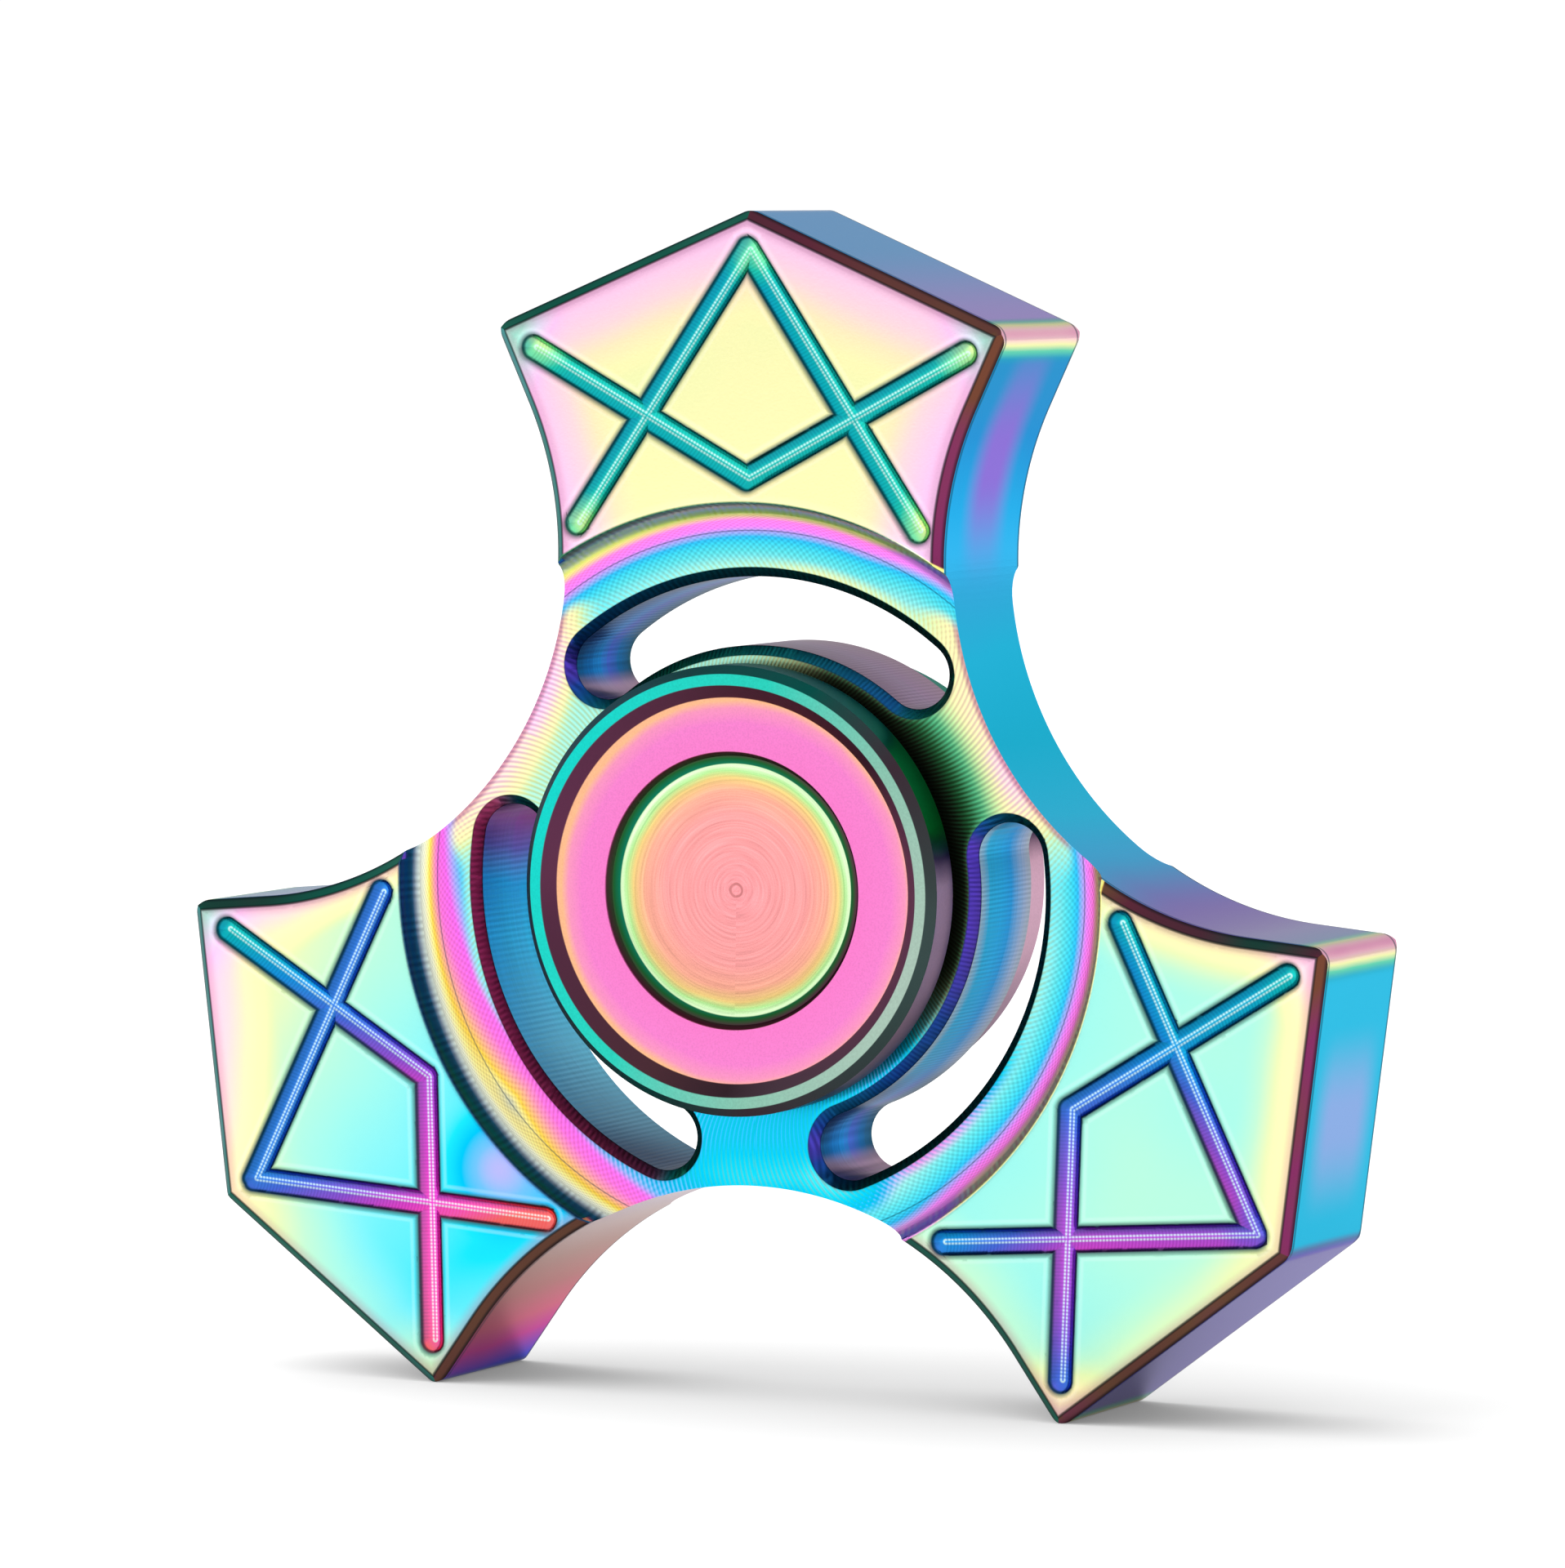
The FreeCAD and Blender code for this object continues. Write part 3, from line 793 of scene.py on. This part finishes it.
class BodyPaint(Paint):
    """The coated body's material. Its colours follow the place on the body."""

    def __init__(self):
        super().__init__("body_coating", metallic=1.0)
        x, y, z, nx, ny, nz = self.coordinates()
        self.x, self.y, self.z = x, y, z
        self.nx, self.ny, self.nz = nx, ny, nz
        self.facing = nx / self.high(self.length(nx, nz), 0.01)
        self.r = self.length(x, z)
        self.angle = self.math("ARCTAN2", x, z)
        third = 2 * math.pi / 3
        self.arm = self.math("ROUND", self.angle / third)
        self.turn = self.angle - self.arm * third
        self.u = self.r * self.math("SINE", self.turn)
        self.v = self.r * self.math("COSINE", self.turn)
        self.side = abs(self.u)
        self.out = self.v - PAD_MIDDLE
        self.left = self.fade(self.arm, -0.9, -0.5)
        self.right = self.step(self.arm, 0.5, 0.9)
        self.on_top = (1 - self.left) * (1 - self.right)
        self.below = self.step(-z / self.r, 0.30, 0.80)
        self.rightward = self.step(x, -1.0, 4.0)
        self.edge = self.edge_distance()
        self.grain = self.noise(self.vector(x, y, z), 9.0, 2.0) - 0.5
        self.drift = self.noise(self.vector(x, y, z), 0.09, 1.5) - 0.5

    def per_arm(self, top, left, right):
        """One value for each arm."""
        return top + self.left * (left - top) + self.right * (right - top)

    def leg_place(self, leg):
        """Distance from a groove's middle line, and place along it."""
        (au, av), (bu, bv) = [[float(c) for c in point] for point in leg]
        du, dv = bu - au, bv - av
        length = math.hypot(du, dv)
        pu = self.side - au
        pv = self.v - av
        share = (pu * du + pv * dv) / length ** 2
        share = self.low(self.high(share, 0.0), 1.0)
        return self.length(pu - share * du, pv - share * dv), share * length

    def from_point(self, point):
        """Distance from a point of the half arm, on either side of the arm."""
        return self.length(self.side - float(point[0]), self.v - float(point[1]))

    def near(self, u, v, inner, outer):
        """1 at a place on the arm, falling to 0 away from it."""
        return self.fade(self.length(self.u - u, self.v - v), inner, outer)

    def edge_distance(self):
        """How far inside the body's outline a point is."""
        roof = (APEX[1] - self.v) * float(ROOF_NORMAL[1]) - self.side * float(ROOF_NORMAL[0])
        flank = (float(CORNER[0]) - self.side) * float(FLANK_NORMAL[0])
        flank = flank + (float(CORNER[1]) - self.v) * float(FLANK_NORMAL[1])
        past = (self.side - float(TANGENT[0])) * float(FLANK[0])
        past = past + (self.v - float(TANGENT[1])) * float(FLANK[1])
        hollow = self.from_point(HOLLOW_CENTRE) - HOLLOW_RADIUS
        low = self.step(past, -0.05, 0.05)
        return self.low(roof, flank * (1 - low) + hollow * low)

    def pad(self):
        """A pad's face: one run of the film's colours, which turns back near the edges."""
        lean = self.step(self.u, -7.0, 7.0)
        left_reach = 2.2 + self.step(self.out, -4.0, 4.0) * 2.4
        near_edge = self.fade(self.edge, 0.0, self.per_arm(5.2, left_reach, 3.5))
        phase = self.per_arm(0.44, 0.645, 0.635)
        phase = phase - self.u * self.per_arm(0.0, 0.0155, 0.0)
        phase = phase - self.out * self.per_arm(-0.002, 0.013, 0.003)
        low_side = self.per_arm(0.29, 0.06, 0.22)
        high_side = self.per_arm(0.29, 0.26, 0.10)
        phase = phase - near_edge * (low_side + lean * (high_side - low_side))
        corner = self.from_point(CORNER)
        phase = phase - self.fade(corner, 0.0, 4.5) * self.per_arm(0.22, 0.20, 0.26)
        phase = phase + self.left * self.near(-5.5, 18.2, 0.0, 3.8) * 0.17
        return self.ramp(phase + self.drift * 0.16, PASTEL)

    def groove(self, reach, along):
        """The chevrons: beaded, with a painted highlight along the middle, painted shade on the
        walls that face right and down, and painted shade on the steep walls by the lips.
        """
        phase = self.per_arm(0.27, 0.66, 0.43)
        phase = phase - self.u * self.per_arm(0.0, 0.030, -0.008)
        phase = phase - self.out * self.per_arm(-0.004, 0.022, 0.0)
        phase = phase + self.right * self.near(3.0, 26.5, 3.5, 11.0) * 0.29
        far = self.step(self.length(self.u, self.v - 22), 6.0, 12.0)
        phase = phase - far * self.per_arm(0.06, 0.0, 0.0)
        ends = self.low(self.from_point(UPPER_LEG_END), self.from_point(LOWER_LEG_END))
        ends = self.near(0.0, 29.6, 0.3, 1.8) + self.fade(ends, 0.2, 2.2)
        phase = phase - ends * self.per_arm(0.15, 0.0, 0.05)
        phase = phase + self.nz * 0.05 + self.nx * 0.07
        tone = self.scaled(self.ramp(phase, VIVID), 1.35)
        beads = self.wave(along, BEAD_PITCH)
        tone = self.scaled(tone, 0.88 + beads * 0.24)
        # Painted highlight: a bright beaded line along the groove's middle.
        lit = self.fade(abs(reach - 0.09), 0.01, 0.08) * (0.25 + beads * 0.6)
        tone = self.mix(tone, "dcfff8", lit * 0.9)
        # Painted shade: the groove walls that face right and down are darkened.
        shadow = self.step(self.nx * 0.5 - self.nz * 0.5, 0.02, 0.34) * 0.5
        tone = self.mix(tone, "0a4a80", shadow)
        # Painted shade on the steep walls by the lips.
        return self.mix(tone, "06303a", self.step(reach, 0.44, 0.56) * 0.9)

    def marks(self):
        """Fine arcs left by the cutter, from 0 to 1, and the same crossed by a second set."""
        r = self.high(self.r, 8.5)
        swing = (r * r + (CUTTER_CIRCLE ** 2 - CUTTER_RADIUS ** 2)) / (r * (2 * CUTTER_CIRCLE))
        swing = self.math("ARCCOSINE", self.low(swing, 1.0))
        first = self.wave((self.angle - swing) * CUTTER_CIRCLE, MARK_PITCH)
        second = self.wave((self.angle + swing) * CUTTER_CIRCLE, CROSS_PITCH)
        crossed = self.step(self.r, 14.6, 16.2)
        return first + (second - first) * crossed * 0.5

    def recess(self, marks):
        """The turned recess: rings of colour under its wall, and three paler necks."""
        drawn_out = self.step(self.turn, math.radians(18), math.radians(36)) * (1 - self.left)
        place = self.r - drawn_out * 0.55 + self.drift * 0.3
        place = place - self.right * (0.08 + self.step(self.r, 17.4, 18.2) * 0.5)
        rings = self.ramp(place, RECESS)
        swing = 0.75 - abs(self.turn + math.radians(10)) * 2.4
        left_place = self.r + swing * self.fade(self.r, 16.6, 17.4)
        rings = self.mix(rings, self.ramp(left_place, LEFT_RECESS), self.left)
        upper = 0.61 - self.fade(self.edge, 0.0, 2.3) * (0.33 - self.rightward * 0.20)
        upper = upper - self.rightward * 0.15
        upper = upper - self.near(-11.9, 9.5, 0.5, 4.5) * self.fade(self.edge, 0.0, 2.0) * 0.16
        lower = 0.85 - self.fade(self.edge, 0.0, 2.4) * 0.05
        lower = lower - self.right * self.near(9.7, 11.8, 0.5, 3.6) * 0.17
        phase = upper + self.below * (lower - upper)
        phase = phase + self.step(self.r, 13.6, 16.0) * (self.right * 0.14 + 0.08)
        phase = phase + self.drift * 0.25 + (marks - 0.5) * 0.08
        floor = self.ramp(phase, PASTEL)
        from_hub = self.r + (marks - 0.5) * 0.5
        shade = self.rightward * (1 - self.below) * self.fade(self.r, 12.2, 13.8)
        floor = self.mix(floor, self.ramp(from_hub, NECK_SHADE), shade * 0.95)
        brink = self.fade(self.edge, 0.08, 0.36) * (1 - self.below)
        floor = self.mix(floor, "b4608c", brink * 0.7)
        near_wall = self.step(self.r + self.step(self.edge, 0.2, 2.6) * 0.8, 15.9, 16.5)
        blend = self.high(near_wall, self.left * self.step(left_place, 14.9, 15.6))
        tone = self.mix(floor, rings, blend)
        seam = self.fade(abs(self.r - (RECESS_RADIUS - RECESS_FILLET)), 0.015, 0.05)
        tone = self.mix(tone, "1a4a60", seam * 0.6)
        tone = self.scaled(tone, 1 + self.step(self.r, 17.0, 17.9) * 0.9)
        return self.scaled(tone, 0.98 + (marks - 0.5) * 0.42)

    def hollow_walls(self, along, under):
        """The curved walls between the arms, by how far along from a hollow's middle; the lower
        walls on the left are painted lighter to make up for the shaded floor they reflect.
        """
        hollow = self.ramp(along + self.drift * 3.0, HOLLOW)
        patch = self.fade(abs(along + self.drift * 2.0 - 12.0 + self.left * 1.6), 0.5, 4.8)
        patch = patch * (1 - self.on_top * self.step(abs(self.y), 0.6, 3.0))
        hollow = self.mix(hollow, "7c62c0", patch)
        # Painted light: the lower walls' colours are made half as bright again.
        lower = self.scaled(self.ramp(along + self.drift * 2.0, LOWER_HOLLOW), 1.5)
        return self.mix(hollow, lower, under)

    def tip_walls(self):
        """The straight walls round the tips, with a lavender and a violet patch."""
        outer = self.ramp(self.nz + self.drift * 0.3, TIP_WALLS)
        blob = self.near(-5.4, 29.4, 0.5, 4.8) * self.right
        violet = self.near(13.25, 26.3, 1.0, 10.0) * self.on_top
        outer = self.scaled(outer, 1 + self.step(self.nz, 0.4, 0.8) * 0.3)
        outer = self.mix(outer, "9c92d2", blob * self.fade(abs(self.y), 1.6, 4.2) * 0.6)
        return self.mix(outer, "a07cd8", violet * 0.9)

    def walls(self):
        """The outer walls, with a band of the film's colours at the tips' corners and a painted
        dark line of shade along both edges, where they meet the chamfers.
        """
        from_middle = abs(self.math("PINGPONG", self.angle + math.pi / 3, math.pi / 3))
        along = self.r * self.math("SINE", from_middle)
        under = self.step(-self.z / self.r, 0.30, 0.42) * self.fade(self.x, 3.0, 9.0)
        curved = self.fade(along, 16.8, 17.4)
        tone = self.mix(self.tip_walls(), self.hollow_walls(along, under), curved)
        band = self.from_point(CORNER)
        band_tone = self.ramp(band + self.drift * 0.8, CORNER_BAND)
        banded = self.high(curved, self.right) * (1 - under)
        tone = self.mix(tone, band_tone, self.fade(band, 1.1, 1.8) * banded)
        # Painted shade: a dark line along both edges of the walls.
        rim = self.fade(abs(abs(self.y) - BEVEL_TOP), 0.04, 0.14)
        return self.scaled(self.mix(tone, "0a4254", rim * 0.7), WALL_BOOST)

    def slot_walls(self):
        """Inside the slots: fine ribs, and bands of colour from front to back."""
        ribs = self.wave(self.angle * SLOT_RADIUS, RIB_PITCH)
        streaks = self.noise(self.vector(0.0, self.y * 9.0, self.turn * 2.0), 1.0, 3.0) - 0.5
        tone = self.ramp(self.y + streaks * 1.6, SLOT_DEPTH)
        upward = self.step(self.nz, 0.25, 0.8)
        tone = self.mix(tone, "a8889c", upward * 0.85)
        left_tone = self.ramp(self.z + self.drift * 4.0, LEFT_SLOT)
        tone = self.mix(tone, left_tone, self.left * 0.85)
        right_tone = self.ramp(self.y + streaks, RIGHT_SLOT)
        tone = self.mix(tone, right_tone, self.right * self.step(self.z, -10.0, -8.0) * 0.85)
        return self.scaled(tone, 1.1 + ribs * 0.2 + streaks * 0.4)

    def slot_edge(self):
        """The chamfers of the slots, painted dark as shade, with fine teeth and painted dark
        lines of shade on both sides.
        """
        facing = self.facing + self.drift * 0.3
        tone = self.ramp(facing, SLOT_EDGE)
        red_or_violet = self.ramp(self.r, [(12.6, "6a2f8e"), (13.4, "8c2a44")])
        tone = self.mix(tone, red_or_violet, self.left * self.step(self.facing, -0.2, 0.6) * 0.85)
        teeth = self.wave(self.angle * SLOT_RADIUS, RIB_PITCH)
        tone = self.scaled(tone, 1.0 + teeth * 0.6)
        middle = FLOOR_TOP - SLOT_CHAMFER / 2
        # Painted shade: dark lines along both sides of the chamfer.
        painted_shade_rims = self.step(abs(abs(self.y) - middle), 0.17, 0.23)
        return self.mix(tone, "07282c", painted_shade_rims * 0.6)

    def pad_and_grooves(self):
        """A pad with its chevrons, their soft lips with painted shade and a faint painted
        highlight just outside them, and the chamfer round it with painted dark lines of shade
        along both its edges.
        """
        upper_reach, upper_along = self.leg_place(UPPER_CHEVRON)
        lower_reach, lower_along = self.leg_place(LOWER_CHEVRON)
        reach = self.low(upper_reach, lower_reach)
        nearer = self.step(upper_reach - lower_reach, -0.01, 0.01)
        along = upper_along + nearer * (lower_along - upper_along)
        # Painted shade on the soft lips round the grooves.
        pad = self.mix(self.pad(), "3c6460", self.fade(reach, 0.60, 0.86) * 0.8)
        # A faint painted highlight in a ring just outside the lips.
        pad = self.mix(pad, "ffffff", self.fade(abs(reach - 0.93), 0.02, 0.14) * 0.12)
        pad = self.mix(pad, "b05c88", self.fade(self.edge, 0.45, 1.1) * 0.4)
        in_groove = self.fade(reach, GROOVE_EDGE - 0.04, GROOVE_EDGE + 0.04)
        face = self.mix(pad, self.groove(reach, along), in_groove)
        # The chamfer's colours, painted dark as shade.
        chamfer = self.ramp(self.facing + self.drift * 1.3, PAD_CHAMFER)
        in_chamfer = self.fade(self.edge, CHAMFER_EDGE - 0.04, CHAMFER_EDGE + 0.04)
        face = self.mix(face, chamfer, in_chamfer)
        # Painted shade: a dark line where the pad meets its chamfer.
        painted_shade_line = self.fade(abs(self.edge - CHAMFER_EDGE), 0.02, 0.10)
        face = self.mix(face, "0a1c1c", painted_shade_line * 0.8)
        # Painted shade: a dark line along the chamfer's outer edge.
        return self.mix(face, "101c24", self.fade(self.edge, 0.04, 0.18) * 0.75)

    def finish(self):
        """Chooses between the regions, and sets gloss and relief."""
        height = abs(self.y)
        flat = abs(self.ny)
        marks = self.marks()
        inside = self.step(self.edge, 0.30, 0.40)
        in_recess = self.fade(self.r, RECESS_EDGE - 0.06, RECESS_EDGE + 0.06)
        face = self.mix(self.pad_and_grooves(), self.recess(marks), in_recess)
        upright = self.fade(flat, 0.30, 0.45) * self.fade(self.edge, 0.30, 0.36)
        face = self.mix(face, self.walls(), upright)
        below_floor = self.fade(height, FLOOR_TOP - 0.025, FLOOR_TOP - 0.005)
        bevelled = below_floor * inside * self.step(flat, 0.45, 0.55)
        face = self.mix(face, self.slot_edge(), bevelled)
        slot_side = self.fade(flat, 0.25, 0.40) * self.fade(self.r, 15.2, 15.3) * inside
        face = self.mix(face, self.slot_walls(), slot_side)
        self.links.new(self.scaled(face, 1 + self.grain * 0.05), self.shader.inputs["Base Color"])
        turned = in_recess * (1 - upright)
        rough = GLOSS + turned * (0.12 + (marks - 0.5) * 0.08) + self.grain * 0.05
        self.plug(self.shader.inputs["Roughness"], rough)
        self.bump(marks * turned * 0.8 + self.grain * 0.25, RELIEF)
        return self.material


# The caps' rim and, after it, its two bevels, with painted light and shade by how far a place is
# towards the light
CAP_RIM = [(-1.0, "18cfc4"), (-0.2, "2cc8b4"), (0.5, "84baa6"), (1.0, "a4bcae")]
CAP_INNER_BEVEL = [(-1.0, "5a2f48"), (0.0, "50323a"), (0.4, "3a2a32"), (1.0, "746270")]
CAP_OUTER_BEVEL = [(-1.0, "2c4a56"), (0.0, "0c544e"), (0.5, "40303a"), (1.0, "364846")]
# The caps' ring, the step inside it and the disc, by distance from the axis
CAP_RING = [(6.5, "f07cc6"), (8.0, "ee80c8"), (8.7, "f294ba"), (9.05, "f8b88c")]
CAP_STEP = [(5.85, "0a7458"), (6.15, "1c5a2c"), (6.45, "552640")]
CAP_DISC = [
    (0.0, "f49aa0"), (3.6, "f49e9c"), (4.7, "f2a890"), (5.3, "e6c67c"), (5.65, "aee292"),
    (5.88, "d8f8c4"),
]
# Where each band of a cap begins and is full, by distance from the axis
CAP_BLENDS = [(5.92, 5.98), (6.50, 6.56), (9.05, 9.10), (9.64, 9.70), (10.18, 10.22)]
# The caps' side wall, by how far up it faces
CAP_WALL = [
    (-1.0, "403e5c"), (-0.3, "c49cb0"), (0.08, "d0a4ba"), (0.2, "4a3454"), (0.3, "0a7a42"),
    (0.7, "0c8a64"), (1.0, "0e8c88"),
]


def cap_material():
    """The caps: a blasted rim and ring, and a turned disc in the middle, with painted light and
    shade on the rim, bevels, ring and step by how far they are towards the light.
    """
    paint = Paint("cap_coating", metallic=1.0)
    x, y, z, nx, ny, nz = paint.coordinates()
    r = paint.length(x, z)
    safe = paint.high(r, 0.01)
    lit = x / safe * 0.9 - z / safe * 0.4
    place = paint.vector(x, y, z)
    grain = paint.noise(place, 11.0, 2.0) - 0.5
    drift = paint.noise(place, 0.25, 2.0) - 0.5
    around = paint.math("ARCTAN2", x, z)
    turning = paint.noise(paint.vector(r * 9.0, around * 0.8, 0.0), 1.0, 2.0)
    blasted = 1 + grain * 0.36
    ring = paint.scaled(paint.ramp(r - lit * 0.25 + drift * 0.4, CAP_RING), blasted)
    rim = paint.scaled(paint.ramp(lit, CAP_RIM), blasted)
    wall = paint.scaled(paint.ramp(nz + drift * 0.2, CAP_WALL), blasted)
    disc = paint.ramp(r + drift * 0.5, CAP_DISC)
    tone = paint.scaled(disc, 1 + (turning - 0.5) * 0.8 + grain * 0.15)
    centre_mark = paint.fade(abs(r - 0.30), 0.03, 0.09)
    tone = paint.mix(tone, "8a4a44", centre_mark * 0.5)
    step_tone = paint.ramp(r + lit * 0.12, CAP_STEP)
    inner_bevel = paint.ramp(lit, CAP_INNER_BEVEL)
    outer_bevel = paint.ramp(lit, CAP_OUTER_BEVEL)
    bands = (step_tone, ring, inner_bevel, rim, outer_bevel)
    for (start, full), band in zip(CAP_BLENDS, bands):
        tone = paint.mix(tone, band, paint.step(r, start, full))
    tone = paint.mix(tone, wall, paint.fade(abs(ny), 0.3, 0.5))
    paint.links.new(tone, paint.shader.inputs["Base Color"])
    in_disc = paint.fade(r, DISC_RADIUS - 0.15, DISC_RADIUS)
    paint.plug(paint.shader.inputs["Roughness"], 0.34 - in_disc * 0.08 + grain * 0.1)
    paint.bump(grain * 0.5 + in_disc * turning * 0.5, RELIEF)
    return paint.material


def steel_material(name, tint, roughness, line_pitch):
    """Bare steel with turned lines round the axis and a little staining."""
    paint = Paint(name, metallic=1.0)
    x, y, z, *_ = paint.coordinates()
    r = paint.length(x, z)
    place = paint.vector(x, y, z)
    grain = paint.noise(place, 8.0, 3.0) - 0.5
    stain = paint.noise(place, 0.6, 2.0) - 0.5
    lines = paint.wave(r + y + grain * 0.06, line_pitch)
    tone = paint.ramp(stain + 0.5, [(0.2, tint), (0.5, tint), (0.9, "8c8a84")])
    tone = paint.scaled(tone, 1 + (lines - 0.5) * 0.08 + grain * 0.12)
    paint.links.new(tone, paint.shader.inputs["Base Color"])
    paint.plug(paint.shader.inputs["Roughness"], roughness + grain * 0.12)
    paint.bump(lines * 0.6 + grain * 0.4, 0.004)
    return paint.material


def repaint(node, material):
    """Gives a CAD node a better finish in its own material slots."""
    for slot in node.material_slots:
        slot.material = material


def paint_steel(nodes):
    ring_steel = steel_material("ground_ring_steel", "c9cbcc", 0.22, 0.09)
    shield_steel = steel_material("pressed_shield_steel", "b4b6b8", 0.34, 0.16)
    cage_steel = steel_material("cage_steel", "a8a296", 0.40, 0.20)
    ball_steel = steel_material("polished_ball_steel", "d6d8da", 0.08, 0.30)
    thread_steel = steel_material("threaded_ring_steel", "6f7276", 0.30, 0.14)
    finishes = {
        "bearing_outer_ring": ring_steel,
        "bearing_inner_ring": ring_steel,
        "bearing_shield_front": shield_steel,
        "bearing_shield_rear": shield_steel,
        "shield_clip_front": shield_steel,
        "shield_clip_rear": shield_steel,
        "ball_cage": cage_steel,
        "retaining_ring": thread_steel,
        "cap_stud": thread_steel,
    }
    for name, node in nodes.items():
        if name.startswith("ball_0") or name == "ball_10":
            repaint(node, ball_steel)
        elif name in finishes:
            repaint(node, finishes[name])


def cap_mesh(name, direction):
    """A cap turned from one blank: dished disc, ring, raised rim, back and boss."""
    shape = bmesh.new()
    add_turned(shape, [(radius, direction * y) for radius, y in CAP_PROFILE], CAP_SEGMENTS)
    bmesh.ops.recalc_face_normals(shape, faces=shape.faces)
    mesh = bpy.data.meshes.new(name)
    shape.to_mesh(mesh)
    shape.free()
    return mesh


make_camera()
make_floor()
make_world()
make_soft_light()
body = finish_mesh("spinner_body", body_mesh(), BodyPaint().finish(), BODY_SHARP_ANGLE)
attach(body, "rotor")
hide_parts("rotor_body")
coating = cap_material()
for name, direction in (("front", -1), ("rear", 1)):
    cap = finish_mesh(f"finger_cap_{name}", cap_mesh(name, direction), coating, CAP_SHARP_ANGLE)
    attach(cap, "hub")
    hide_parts(f"cap_{name}")
paint_steel(frame["nodes"])
bpy.context.scene.view_settings.view_transform = "Standard"
bpy.context.scene.cycles.caustics_reflective = False
